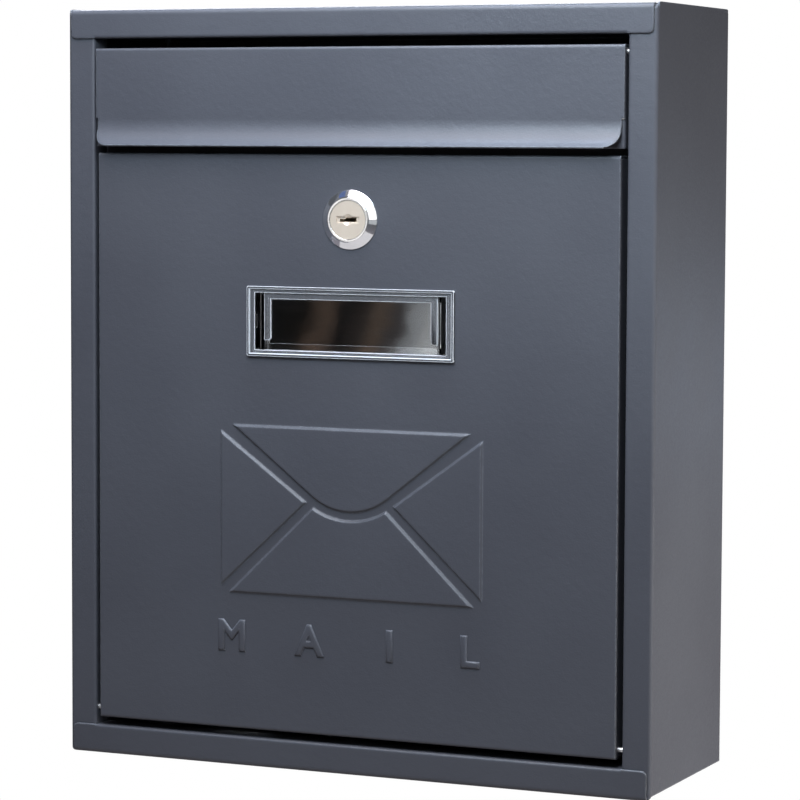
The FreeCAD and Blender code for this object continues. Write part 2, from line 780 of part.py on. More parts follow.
def cam_screw():
    head_start = cam_back + spring_washer_thickness
    head_end = head_start + screw_head_height
    screw = turned([
        (0, cam_back - screw_length + screw_fit),
        (screw_radius, cam_back - screw_length + screw_fit),
        (screw_radius, head_start),
        (screw_head_radius, head_start),
        (screw_head_radius, head_end),
        (0, head_end),
    ], lock_z)
    half = screw_slot_width / 2
    reach = screw_head_radius * 0.6
    slot_start = head_end - screw_slot_depth
    cross = [
        box(-reach, reach, slot_start, head_end + 1, lock_z - half, lock_z + half),
        box(-half, half, slot_start, head_end + 1, lock_z - reach, lock_z + reach),
    ]
    return screw.cut(cross)


def build():
    return {
        "casing_wrap": casing_wrap(),
        "top_cap": cap(cap_top, opening_top, cap_bend_radius),
        "bottom_cap": bottom_cap(),
        "cross_rail": cross_rail(),
        "flap_hinge_pin_left": hinge_pin(-1, flap_half, flap_pin_z),
        "flap_hinge_pin_right": hinge_pin(1, flap_half, flap_pin_z),
        "door_hinge_pin_left": hinge_pin(-1, door_half, door_pin_z),
        "door_hinge_pin_right": hinge_pin(1, door_half, door_pin_z),
        "letter_flap": letter_flap(),
        "door": door(),
        "name_window": name_window(),
        "lock_housing": lock_housing(),
        "lock_washer": lock_washer(),
        "lock_nut": lock_nut(),
        "lock_plug": lock_plug(),
        "lock_wafers": lock_wafers(),
        "stop_washer": stop_washer(),
        "lock_cam": lock_cam(),
        "cam_spring_washer": cam_spring_washer(),
        "cam_screw": cam_screw(),
    }


os.makedirs("parts", exist_ok=True)
for name, shape in build().items():
    shape.exportStep(f"parts/{name}.step")
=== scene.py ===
import json
import math
import bpy
from mathutils import Matrix, Vector


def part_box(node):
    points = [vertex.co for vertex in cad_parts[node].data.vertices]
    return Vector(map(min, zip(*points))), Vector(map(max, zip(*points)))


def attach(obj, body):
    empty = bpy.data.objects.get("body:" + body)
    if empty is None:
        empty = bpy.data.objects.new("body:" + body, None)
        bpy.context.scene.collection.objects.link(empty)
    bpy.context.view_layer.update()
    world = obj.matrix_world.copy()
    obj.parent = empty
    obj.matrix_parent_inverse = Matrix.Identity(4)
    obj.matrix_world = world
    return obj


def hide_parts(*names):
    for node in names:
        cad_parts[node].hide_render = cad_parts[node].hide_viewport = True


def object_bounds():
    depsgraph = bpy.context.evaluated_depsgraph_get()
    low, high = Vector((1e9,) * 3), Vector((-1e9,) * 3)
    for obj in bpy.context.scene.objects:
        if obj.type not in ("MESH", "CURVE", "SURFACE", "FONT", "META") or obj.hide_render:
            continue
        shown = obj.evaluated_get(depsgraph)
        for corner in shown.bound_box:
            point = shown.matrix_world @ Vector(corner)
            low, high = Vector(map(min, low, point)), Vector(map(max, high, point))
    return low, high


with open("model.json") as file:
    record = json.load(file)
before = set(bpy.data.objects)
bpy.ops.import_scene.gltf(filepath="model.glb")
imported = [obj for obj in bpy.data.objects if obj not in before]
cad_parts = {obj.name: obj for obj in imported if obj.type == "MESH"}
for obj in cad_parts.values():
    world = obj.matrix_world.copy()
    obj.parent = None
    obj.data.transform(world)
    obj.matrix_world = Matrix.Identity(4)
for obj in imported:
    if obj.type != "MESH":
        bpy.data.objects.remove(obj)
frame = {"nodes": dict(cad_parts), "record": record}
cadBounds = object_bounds()
nodes = frame["nodes"]


def deselectAll():
    if bpy.context.object and bpy.context.object.mode != "OBJECT":
        bpy.ops.object.mode_set(mode="OBJECT")
    bpy.ops.object.select_all(action="DESELECT")


def makeActive(obj):
    deselectAll()
    obj.select_set(True)
    bpy.context.view_layer.objects.active = obj


def applyPlace(obj):
    makeActive(obj)
    bpy.ops.object.transform_apply(location=True, rotation=True, scale=True)


def turnToAim(obj, values):
    direction = Vector(values["aim"]) - Vector(values["place"])
    obj.rotation_euler = direction.to_track_quat("-Z", "Y").to_euler()


# camera

cameraValues = {
    "place": (0.64303, -1.48519, 0.11761),
    "yaw": math.radians(24.023),      # to the left of straight at the wall
    "pitch": math.radians(4.507),     # downwards
    "roll": math.radians(0.245),
    "lens": 147.85,
    "sensor": 36.0,
    "farthest": 50.0,
}


def addCamera(values):
    bpy.ops.object.camera_add(location=values["place"])
    camera = bpy.context.object
    camera.name = "photoCamera"
    yaw, pitch, roll = values["yaw"], values["pitch"], values["roll"]
    ahead = Vector((-math.sin(yaw) * math.cos(pitch), math.cos(yaw) * math.cos(pitch), -math.sin(pitch)))
    level = Vector((math.cos(yaw), math.sin(yaw), 0))
    above = level.cross(ahead)
    right = level * math.cos(roll) + above * math.sin(roll)
    up = above * math.cos(roll) - level * math.sin(roll)
    camera.rotation_euler = Matrix((right, up, -ahead)).transposed().to_euler()
    camera.data.lens = values["lens"]
    camera.data.sensor_width = values["sensor"]
    camera.data.clip_end = values["farthest"]
    bpy.context.scene.camera = camera


addCamera(cameraValues)
print("camera placed")


# node helpers

def addNode(tree, kind, place, **settings):
    node = tree.nodes.new(kind)
    node.location = place
    for name, value in settings.items():
        setattr(node, name, value)
    return node


def feed(tree, socket, item):
    # an input takes another node's output or a plain value
    if isinstance(item, bpy.types.NodeSocket):
        tree.links.new(item, socket)
    else:
        socket.default_value = item


def feedAll(tree, node, items):
    for name, item in items.items():
        feed(tree, node.inputs[name], item)


def addNoise(tree, place, vector, scale, detail, roughness):
    noise = addNode(tree, "ShaderNodeTexNoise", place)
    feedAll(tree, noise, {"Vector": vector, "Scale": scale, "Detail": detail, "Roughness": roughness})
    return noise.outputs["Fac"]


def addRange(tree, place, value, source, target=(0.0, 1.0)):
    spread = addNode(tree, "ShaderNodeMapRange", place)
    feedAll(tree, spread, {"Value": value, "From Min": source[0], "From Max": source[1],
                           "To Min": target[0], "To Max": target[1]})
    return spread.outputs["Result"]


def addMath(tree, place, operation, *items):
    node = addNode(tree, "ShaderNodeMath", place, operation=operation)
    for socket, item in zip(node.inputs, items):
        feed(tree, socket, item)
    return node.outputs[0]


def addColourMix(tree, place, factor, first, second):
    mix = addNode(tree, "ShaderNodeMix", place, data_type="RGBA")
    feed(tree, mix.inputs[0], factor)
    for index, item in ((6, first), (7, second)):      # the node's two colour inputs
        feed(tree, mix.inputs[index], (*item, 1.0) if isinstance(item, tuple) else item)
    return mix.outputs[2]


def addBump(tree, place, height, strength, distance):
    bump = addNode(tree, "ShaderNodeBump", place)
    feedAll(tree, bump, {"Height": height, "Strength": strength, "Distance": distance})
    return bump


def addObjectPlace(tree, place):
    return addNode(tree, "ShaderNodeTexCoord", place).outputs["Object"]


# shared effects

def newGroup(name, inputs, outputs):
    tree = bpy.data.node_groups.new(name, "ShaderNodeTree")
    for label, value in inputs.items():
        socket = tree.interface.new_socket(label, in_out="INPUT", socket_type="NodeSocketFloat")
        socket.default_value = value
    for label, kind in outputs.items():
        tree.interface.new_socket(label, in_out="OUTPUT", socket_type="NodeSocket" + kind)
    start = addNode(tree, "NodeGroupInput", (-1200, 0))
    end = addNode(tree, "NodeGroupOutput", (600, 0))
    return tree, start.outputs, end


softEdgeValues = {
    "radius": 0.0006,
    "break": 300.0,                   # scale of the gaps in the mask
    "samples": 6,
    "turned": (0.94, 0.77),           # cosine of the normals' angle where the mask starts and is full
    "breakNoise": (3.0, 0.6),
    "breakRange": (0.35, 0.65),
    "breakShare": (0.35, 1.0),        # least and most of the mask that the gaps leave
}


def makeEdgeGroup(values):
    # mask and rounded normal along folded and cut edges; the coat paints a highlight where the mask lies
    tree, start, end = newGroup("softEdges", {"Radius": values["radius"], "Break": values["break"]},
                                {"Mask": "Float", "Normal": "Vector"})
    bevel = addNode(tree, "ShaderNodeBevel", (-900, 200), samples=values["samples"])
    geometry = addNode(tree, "ShaderNodeNewGeometry", (-900, -50))
    tree.links.new(start["Radius"], bevel.inputs["Radius"])
    dot = addNode(tree, "ShaderNodeVectorMath", (-700, 100), operation="DOT_PRODUCT")
    tree.links.new(bevel.outputs["Normal"], dot.inputs[0])
    tree.links.new(geometry.outputs["Normal"], dot.inputs[1])
    away = addRange(tree, (-500, 100), dot.outputs["Value"], values["turned"])
    noise = addNoise(tree, (-900, -300), addObjectPlace(tree, (-1100, -300)), start["Break"],
                     *values["breakNoise"])
    broken = addRange(tree, (-500, -200), noise, values["breakRange"], values["breakShare"])
    mask = addMath(tree, (-200, 0), "MULTIPLY", away, broken)
    feedAll(tree, end, {"Mask": mask, "Normal": bevel.outputs["Normal"]})
    return tree


powderValues = {
    "grain": 1150.0,
    "flow": 260.0,
    "cloud": 9.0,
    "specks": 2600.0,
    "grainNoise": (2.0, 0.55),        # detail and roughness of each noise
    "flowNoise": (2.0, 0.5),
    "cloudNoise": (3.0, 0.5),
    "speckNoise": (1.0, 0.5),
    "grainHeight": 0.55,              # grain's height beside the flow's
    "cloudSheen": 0.6,                # cloud's share in the sheen beside the grain's
    "toneRange": (0.3, 0.7),
    "sheenRange": (0.5, 1.1),
    "speckRange": (0.66, 0.74),
}


def makeCoatGroup(values):
    # stippled flow of baked powder, with slow changes in tone and sheen
    tree, start, end = newGroup(
        "powderGrain", {"Grain": values["grain"], "Flow": values["flow"], "Cloud": values["cloud"]},
        {"Height": "Float", "Tone": "Float", "Sheen": "Float", "Specks": "Float"})
    place = addObjectPlace(tree, (-1200, 300))
    grain = addNoise(tree, (-900, 400), place, start["Grain"], *values["grainNoise"])
    flow = addNoise(tree, (-900, 150), place, start["Flow"], *values["flowNoise"])
    cloud = addNoise(tree, (-900, -100), place, start["Cloud"], *values["cloudNoise"])
    specks = addNoise(tree, (-900, -350), place, values["specks"], *values["speckNoise"])
    height = addMath(tree, (-600, 300), "MULTIPLY_ADD", grain, values["grainHeight"], flow)
    tone = addRange(tree, (-600, -100), cloud, values["toneRange"])
    sheenMix = addMath(tree, (-600, -250), "MULTIPLY_ADD", cloud, values["cloudSheen"], grain)
    sheen = addRange(tree, (-350, -250), sheenMix, values["sheenRange"])
    speckMask = addRange(tree, (-600, -400), specks, values["speckRange"])
    feedAll(tree, end, {"Height": height, "Tone": tone, "Sheen": sheen, "Specks": speckMask})
    return tree


markValues = {
    "scale": 60.0,
    "lines": ({"turn": 0.5, "stretch": 0.04}, {"turn": -0.9, "stretch": 0.05}),
    "tilt": 0.3,
    "fineness": 22.0,                 # how much finer the lines are than the smudges
    "lineNoise": (4.0, 0.7),
    "lineRange": (0.62, 0.68),
    "smudgeNoise": (3.0, 0.6),
    "smudgeRange": (0.35, 0.7),
}


def makeMarkGroup(values):
    # fine handling marks: long thin cells in two directions, and smudges
    tree, start, end = newGroup("handlingMarks", {"Scale": values["scale"]},
                                {"Mask": "Float", "Smudge": "Float"})
    place = addObjectPlace(tree, (-1200, 300))
    fine = addMath(tree, (-1000, 500), "MULTIPLY", start["Scale"], values["fineness"])
    masks = []
    for line, row in zip(values["lines"], (300, 0)):
        mapping = addNode(tree, "ShaderNodeMapping", (-1000, row))
        feedAll(tree, mapping, {"Vector": place, "Rotation": (0.0, line["turn"], values["tilt"]),
                                "Scale": (line["stretch"], 1.0, 1.0)})
        noise = addNoise(tree, (-800, row), mapping.outputs["Vector"], fine, *values["lineNoise"])
        masks.append(addRange(tree, (-600, row), noise, values["lineRange"]))
    both = addMath(tree, (-300, 200), "MAXIMUM", *masks)
    smudge = addNoise(tree, (-800, -400), place, start["Scale"], *values["smudgeNoise"])
    smudgeMask = addRange(tree, (-600, -400), smudge, values["smudgeRange"])
    feedAll(tree, end, {"Mask": both, "Smudge": smudgeMask})
    return tree


edgeGroup = makeEdgeGroup(softEdgeValues)
coatGroup = makeCoatGroup(powderValues)
markGroup = makeMarkGroup(markValues)
print("shared effects made")


# materials

def newMaterial(name, plain):
    material = bpy.data.materials.new(name)
    material.use_nodes = True
    tree = material.node_tree
    shader = tree.nodes["Principled BSDF"]
    shader.location = (300, 0)
    tree.nodes["Material Output"].location = (650, 0)
    feedAll(tree, shader, plain)
    return material, tree, shader


def addGroup(tree, group, place, values):
    node = addNode(tree, "ShaderNodeGroup", place)
    node.node_tree = group
    feedAll(tree, node, values)
    return node.outputs


def finishSurface(tree, shader, colour, rough, bump, edge=None):
    # the bump lies on the rounded normal of the edges, where the piece has them
    if edge:
        tree.links.new(edge["Normal"], bump.inputs["Normal"])
    feedAll(tree, shader, {"Base Color": colour, "Roughness": rough, "Normal": bump.outputs["Normal"]})


coatValues = {
    "deep": (0.056, 0.058, 0.069),
    "pale": (0.065, 0.068, 0.080),
    # painted highlight: the pale colour that the coat takes along folds and cut edges
    "edge": (0.28, 0.30, 0.335),
    "speck": (0.11, 0.12, 0.14),
    "speckShare": 0.35,
    "edgeHighlightShare": 0.85,
    "edgeRadius": 0.0014,
    "marks": 26.0,
    "smudge": -0.05,                  # what a smudge adds to the roughness
    "rough": (0.40, 0.54),
    "bump": (0.9, 0.00011),           # strength and distance, here and below
    "specular": 0.42,
}


def makeCoat(values):
    material, tree, shader = newMaterial("anthraciteCoat", {"Specular IOR Level": values["specular"]})
    grain = addGroup(tree, coatGroup, (-900, 200), {})
    edge = addGroup(tree, edgeGroup, (-900, -200), {"Radius": values["edgeRadius"]})
    marks = addGroup(tree, markGroup, (-900, -450), {"Scale": values["marks"]})
    tone = addColourMix(tree, (-600, 300), grain["Tone"], values["deep"], values["pale"])
    speckFactor = addMath(tree, (-650, 60), "MULTIPLY", grain["Specks"], values["speckShare"])
    speckled = addColourMix(tree, (-400, 300), speckFactor, tone, values["speck"])
    # painted highlight along the folds and cut edges, laid by the edge mask
    edgeHighlightFactor = addMath(tree, (-400, 60), "MULTIPLY", edge["Mask"], values["edgeHighlightShare"])
    colour = addColourMix(tree, (-150, 300), edgeHighlightFactor, speckled, values["edge"])
    sheen = addRange(tree, (-600, -150), grain["Sheen"], (0.0, 1.0), values["rough"])
    smudge = addMath(tree, (-400, -250), "MULTIPLY", marks["Smudge"], values["smudge"])
    rough = addMath(tree, (-200, -150), "ADD", sheen, smudge)
    bump = addBump(tree, (0, -350), grain["Height"], *values["bump"])
    finishSurface(tree, shader, colour, rough, bump, edge)
    return material


chromeValues = {
    "bright": (0.86, 0.87, 0.89),
    "dull": (0.62, 0.63, 0.66),
    "dullShare": 0.25,
    "metal": 0.94,
    "marks": 110.0,
    "edgeRadius": 0.0004,
    "rough": (0.05, 0.12),
    "scratch": 0.06,                  # what a scratch adds to the roughness
    "bump": (0.05, 0.00002),
}


def makeChrome(values):
    material, tree, shader = newMaterial("chromePlate", {"Metallic": values["metal"]})
    marks = addGroup(tree, markGroup, (-900, 0), {"Scale": values["marks"]})
    edge = addGroup(tree, edgeGroup, (-900, -300), {"Radius": values["edgeRadius"]})
    amount = addMath(tree, (-600, 200), "MULTIPLY", marks["Smudge"], values["dullShare"])
    colour = addColourMix(tree, (-350, 200), amount, values["bright"], values["dull"])
    smudged = addRange(tree, (-600, -50), marks["Smudge"], (0.0, 1.0), values["rough"])
    rough = addMath(tree, (-350, -50), "MULTIPLY_ADD", marks["Mask"], values["scratch"], smudged)
    bump = addBump(tree, (-100, -300), marks["Mask"], *values["bump"])
    finishSurface(tree, shader, colour, rough, bump, edge)
    return material


plugValues = {
    "centre": tuple((low + high) / 2 for low, high in zip(*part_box("lock_plug"))),
    "bright": (0.68, 0.585, 0.475),
    "dull": (0.61, 0.51, 0.41),
    "dullShare": 0.6,
    "metal": 0.35,
    "marks": 150.0,
    "edgeRadius": 0.00025,
    "rings": 1900.0,
    "ringNoise": (3.0, 0.6),
    "ringRange": (0.3, 0.7),
    "rough": (0.30, 0.38),
    "bump": (0.03, 0.00003),
}


def makePlugNickel(values):
    # turned rings about the lock's axis, with faint blotches
    material, tree, shader = newMaterial("plugNickel", {"Metallic": values["metal"]})
    shift = addNode(tree, "ShaderNodeVectorMath", (-1100, 100), operation="SUBTRACT")
    feed(tree, shift.inputs[0], addObjectPlace(tree, (-1300, 100)))
    feed(tree, shift.inputs[1], values["centre"])
    flat = addNode(tree, "ShaderNodeVectorMath", (-900, 100), operation="MULTIPLY")
    feed(tree, flat.inputs[0], shift.outputs["Vector"])
    feed(tree, flat.inputs[1], (1.0, 0.0, 1.0))      # the lock's axis lies along Y
    reach = addNode(tree, "ShaderNodeVectorMath", (-700, 100), operation="LENGTH")
    feed(tree, reach.inputs[0], flat.outputs["Vector"])
    noise = addNode(tree, "ShaderNodeTexNoise", (-500, 100), noise_dimensions="1D")
    detail, roughness = values["ringNoise"]
    feedAll(tree, noise, {"W": reach.outputs["Value"], "Scale": values["rings"], "Detail": detail,
                          "Roughness": roughness})
    rings = noise.outputs["Fac"]
    marks = addGroup(tree, markGroup, (-900, -250), {"Scale": values["marks"]})
    edge = addGroup(tree, edgeGroup, (-900, -500), {"Radius": values["edgeRadius"]})
    blotch = addMath(tree, (-300, -150), "MULTIPLY", marks["Smudge"], values["dullShare"])
    colour = addColourMix(tree, (0, 200), blotch, values["bright"], values["dull"])
    rough = addRange(tree, (-300, 50), rings, values["ringRange"], values["rough"])
    bump = addBump(tree, (0, -300), rings, *values["bump"])
    finishSurface(tree, shader, colour, rough, bump, edge)
    return material


zincValues = {
    "blue": (0.78, 0.81, 0.86),
    "straw": (0.82, 0.80, 0.74),
    "metal": 1.0,
    "tint": (90.0, 2.0, 0.5),         # scale, detail and roughness of the noise
    "tintRange": (0.35, 0.65),
    "frost": (900.0, 3.0, 0.6),
    "frostRange": (0.3, 0.7),
    "edgeRadius": 0.0002,
    "rough": (0.28, 0.46),
    "bump": (0.12, 0.00003),
}


def makeZinc(values):
    material, tree, shader = newMaterial("zincPlate", {"Metallic": values["metal"]})
    place = addObjectPlace(tree, (-1100, 200))
    tint = addNoise(tree, (-800, 250), place, *values["tint"])
    tintMask = addRange(tree, (-550, 250), tint, values["tintRange"])
    colour = addColourMix(tree, (-250, 250), tintMask, values["blue"], values["straw"])
    frost = addNoise(tree, (-800, 0), place, *values["frost"])
    rough = addRange(tree, (-550, 0), frost, values["frostRange"], values["rough"])
    edge = addGroup(tree, edgeGroup, (-800, -300), {"Radius": values["edgeRadius"]})
    bump = addBump(tree, (-250, -200), frost, *values["bump"])
    finishSurface(tree, shader, colour, rough, bump, edge)
    return material


brassValues = {
    "bright": (0.78, 0.58, 0.28),
    "dull": (0.42, 0.29, 0.13),
    "metal": 1.0,
    "stain": (700.0, 3.0, 0.6),       # scale, detail and roughness of the noise
    "stainRange": (0.35, 0.7),
    "sheenRange": (0.3, 0.7),
    "rough": (0.25, 0.5),
    "bump": (0.1, 0.00002),
}


def makeBrass(values):
    material, tree, shader = newMaterial("waferBrass", {"Metallic": values["metal"]})
    stain = addNoise(tree, (-800, 200), addObjectPlace(tree, (-1100, 200)), *values["stain"])
    mask = addRange(tree, (-550, 200), stain, values["stainRange"])
    colour = addColourMix(tree, (-250, 200), mask, values["bright"], values["dull"])
    rough = addRange(tree, (-550, -50), stain, values["sheenRange"], values["rough"])
    bump = addBump(tree, (-250, -200), stain, *values["bump"])
    finishSurface(tree, shader, colour, rough, bump)
    return material


clearValues = {
    "ior": 1.49,
    "metal": 0.0,
    "marks": 30.0,
    "edgeRadius": 0.0003,
    "dustShare": 0.4,
    "scratchShare": 0.5,
    "bump": (0.05, 0.0001),
    # the moulding's three looks: the clear pane, the frame with painted shade, and the rims with a painted
    # highlight
    "pane": {
        "name": "clearPane",
        "clean": (0.95, 0.96, 0.97),
        "dusty": (0.80, 0.82, 0.84),
        "through": 1.0,
        "rough": (0.02, 0.16),
    },
    # painted shade: a darker, less clear copy of the pane's plastic for the frame
    "frame": {
        "name": "clearFrame",
        "clean": (0.30, 0.31, 0.33),
        "dusty": (0.22, 0.23, 0.25),
        "through": 0.70,
        "rough": (0.10, 0.14),
    },
    # painted highlight: pale, nearly opaque plastic on the frame's rims and rounded edges
    "edge": {
        "name": "clearEdgeHighlight",
        "clean": (0.84, 0.86, 0.89),
        "dusty": (0.70, 0.72, 0.76),
        "through": 0.1,
        "rough": (0.12, 0.16),
    },
}


def makeClear(values, look):
    # clear plastic with dust and handling marks; the frame's look carries painted shade and the rims' look
    # a painted highlight
    plain = {"IOR": values["ior"], "Metallic": values["metal"], "Transmission Weight": look["through"]}
    material, tree, shader = newMaterial(look["name"], plain)
    marks = addGroup(tree, markGroup, (-900, 0), {"Scale": values["marks"]})
    edge = addGroup(tree, edgeGroup, (-900, -300), {"Radius": values["edgeRadius"]})
    amount = addMath(tree, (-600, 200), "MULTIPLY", marks["Smudge"], values["dustShare"])
    colour = addColourMix(tree, (-350, 200), amount, look["clean"], look["dusty"])
    scratch = addMath(tree, (-600, -50), "MULTIPLY", marks["Mask"], values["scratchShare"])
    rough = addRange(tree, (-350, -50), scratch, (0.0, 1.0), look["rough"])
    bump = addBump(tree, (-100, -300), marks["Smudge"], *values["bump"])
    finishSurface(tree, shader, colour, rough, bump, edge)
    return material


finishes = {
    "coat": makeCoat(coatValues),
    "chrome": makeChrome(chromeValues),
    "nickel": makePlugNickel(plugValues),
    "zinc": makeZinc(zincValues),
    "brass": makeBrass(brassValues),
    "clear": makeClear(clearValues, clearValues["pane"]),
    "clearFrame": makeClear(clearValues, clearValues["frame"]),
    "clearEdgeHighlight": makeClear(clearValues, clearValues["edge"]),
}

for part in frame["record"]["subparts"]:
    finish = finishes[part["material_slot"]]
    slots = nodes[part["node"]].data.materials
    if len(slots) == 0:
        slots.append(finish)
    for index in range(len(slots)):
        slots[index] = finish
print("finishes on the metal and plastic pieces")


# raised word on the door

letterValues = {
    "word": "MAIL",
    "centres": (-0.0615, -0.0207, 0.0207, 0.0615),
    "low": -0.1249,
    "high": -0.1097,
    "face": -0.100,                   # front face of the door's sheet
    "raise": 0.0008,
    "slope": 0.0010,
    "thin": -0.0002,                  # takes the font's stroke down before the slope is added
    "capShare": 0.70,                 # a capital's height in the font's size
    "slopeSteps": 3,
    "roundSteps": 6,
    "weld": 0.000005,
    "rearShare": 0.99,                # beyond this share of the raise, a point is on the letters' rear
    "inside": 0.00004,                # the rear shows by this much on the inner side of the sheet
    "smoothAngle": math.radians(50),
}


def addLetter(values, letter, centre):
    height = values["high"] - values["low"]
    deselectAll()
    bpy.ops.object.text_add(location=(0, 0, 0))
    text = bpy.context.object
    text.data.body = letter
    text.data.align_x = "CENTER"
    text.data.size = height / values["capShare"]
    text.data.offset = values["thin"]
    text.data.bevel_depth = values["slope"]
    text.data.bevel_resolution = values["slopeSteps"]
    text.data.resolution_u = values["roundSteps"]
    makeActive(text)
    bpy.ops.object.convert(target="MESH")
    solid = bpy.context.object
    heights = [vertex.co.y for vertex in solid.data.vertices]
    widths = [vertex.co.x for vertex in solid.data.vertices]
    scale = height / (max(heights) - min(heights))
    solid.scale = (scale, scale, values["raise"] / values["slope"])
    solid.rotation_euler = (math.radians(90), 0, 0)
    middle = (max(widths) + min(widths)) / 2
    solid.location = (centre - middle * scale, values["face"], values["low"] - min(heights) * scale)
    applyPlace(solid)
    return solid


def addRaisedWord(values):
    places = zip(values["word"], values["centres"])
    letters = [addLetter(values, letter, centre) for letter, centre in places]
    deselectAll()
    for letter in letters:
        letter.select_set(True)
    bpy.context.view_layer.objects.active = letters[0]
    bpy.ops.object.join()
    word = bpy.context.object
    word.name = "raised_word"
    makeActive(word)
    bpy.ops.object.mode_set(mode="EDIT")
    bpy.ops.mesh.select_all(action="SELECT")
    bpy.ops.mesh.remove_doubles(threshold=values["weld"])
    bpy.ops.mesh.normals_make_consistent(inside=False)
    bpy.ops.mesh.select_all(action="DESELECT")
    bpy.ops.object.mode_set(mode="OBJECT")
    rear = values["face"] + values["rearShare"] * values["raise"]
    for vertex in word.data.vertices:
        vertex.select = vertex.co.y > rear
    bpy.ops.object.mode_set(mode="EDIT")
    bpy.ops.transform.translate(value=(0, values["inside"], 0))
    bpy.ops.object.mode_set(mode="OBJECT")
    bpy.ops.object.shade_smooth_by_angle(angle=values["smoothAngle"])
    word.data.materials.clear()
    word.data.materials.append(finishes["coat"])
    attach(word, "door")


addRaisedWord(letterValues)
print("raised word on the door")


# clear window with its moulded edges rounded

windowValues = {
    "looks": ("clear", "clearFrame", "clearEdgeHighlight"),
    "weld": 0.00001,
    "flatAngle": math.radians(1),
    "front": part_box("name_window")[0].y,
    "frameDepth": 0.0019,             # the frame's faces lie up to this far behind its front
    "forward": -0.99,                 # a face that looks to the front has a normal with Y below this
    # painted highlight: the light lines round the frame's faces take the edge look
    "line": 0.00022,                  # width of the light lines round the frame's faces
    "edge": 0.0004,                   # rounding of the frame's front edges
    "innerShare": 0.45,               # share of it that all other edges get
    "segments": 2,
}


def copyWindow(values):
    moulding = bpy.data.objects.new("clear_name_window", nodes["name_window"].data.copy())
    bpy.context.collection.objects.link(moulding)
    makeActive(moulding)
    bpy.ops.object.mode_set(mode="EDIT")
    bpy.ops.mesh.select_all(action="SELECT")
    bpy.ops.mesh.remove_doubles(threshold=values["weld"])
    bpy.ops.mesh.dissolve_limited(angle_limit=values["flatAngle"])
    bpy.ops.object.mode_set(mode="OBJECT")
    moulding.data.materials.clear()
    for look in values["looks"]:
        moulding.data.materials.append(finishes[look])
    return moulding


def drawFrameLines(mesh, values):
    # the frame's front faces are inset by the line's width, and the rims take the edges' look, a painted
    # highlight
    paneLook, frameLook, highlightLook = range(len(values["looks"]))
    bpy.ops.object.mode_set(mode="EDIT")
    bpy.ops.mesh.select_mode(type="FACE")
    bpy.ops.mesh.select_all(action="DESELECT")
    bpy.ops.object.mode_set(mode="OBJECT")
    for face in mesh.polygons:
        inFrame = face.center.y < values["front"] + values["frameDepth"]
        face.material_index = frameLook if inFrame else paneLook
        face.select = inFrame and face.normal.y < values["forward"]
        if face.select:
            face.material_index = highlightLook
    bpy.ops.object.mode_set(mode="EDIT")
    bpy.ops.mesh.inset(thickness=values["line"], use_even_offset=True)
    bpy.ops.object.mode_set(mode="OBJECT")
    for face in mesh.polygons:
        if face.select:
            face.material_index = frameLook


def weighFolds(mesh, values):
    # only edges where the faces turn are rounded, and those in front the most
    facings = {}
    for face in mesh.polygons:
        for key in face.edge_keys:
            facings.setdefault(key, []).append(face.normal.copy())
    front = values["front"] + values["weld"]
    weights = mesh.attributes.new("bevel_weight_edge", "FLOAT", "EDGE")
    for edge in mesh.edges:
        inFront = all(mesh.vertices[corner].co.y < front for corner in edge.vertices)
        beside = facings[edge.key]
        folded = beside[0].dot(beside[-1]) < math.cos(values["flatAngle"])
        weights.data[edge.index].value = folded * (1.0 if inFront else values["innerShare"])


def addWindow(values):
    moulding = copyWindow(values)
    drawFrameLines(moulding.data, values)
    weighFolds(moulding.data, values)
    edges = moulding.modifiers.new("roundedEdges", "BEVEL")
    edges.width = values["edge"]
    edges.segments = values["segments"]
    edges.limit_method = "WEIGHT"
    edges.use_clamp_overlap = True
    # the rounded edges take the painted highlight look
    edges.material = values["looks"].index("clearEdgeHighlight")
    bpy.ops.object.modifier_apply(modifier=edges.name)
    bpy.ops.object.shade_flat()
    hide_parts("name_window")
    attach(moulding, "door")


addWindow(windowValues)
print("clear window rounded")


# studio

upperDoor = (0.0, -0.10, 0.08)

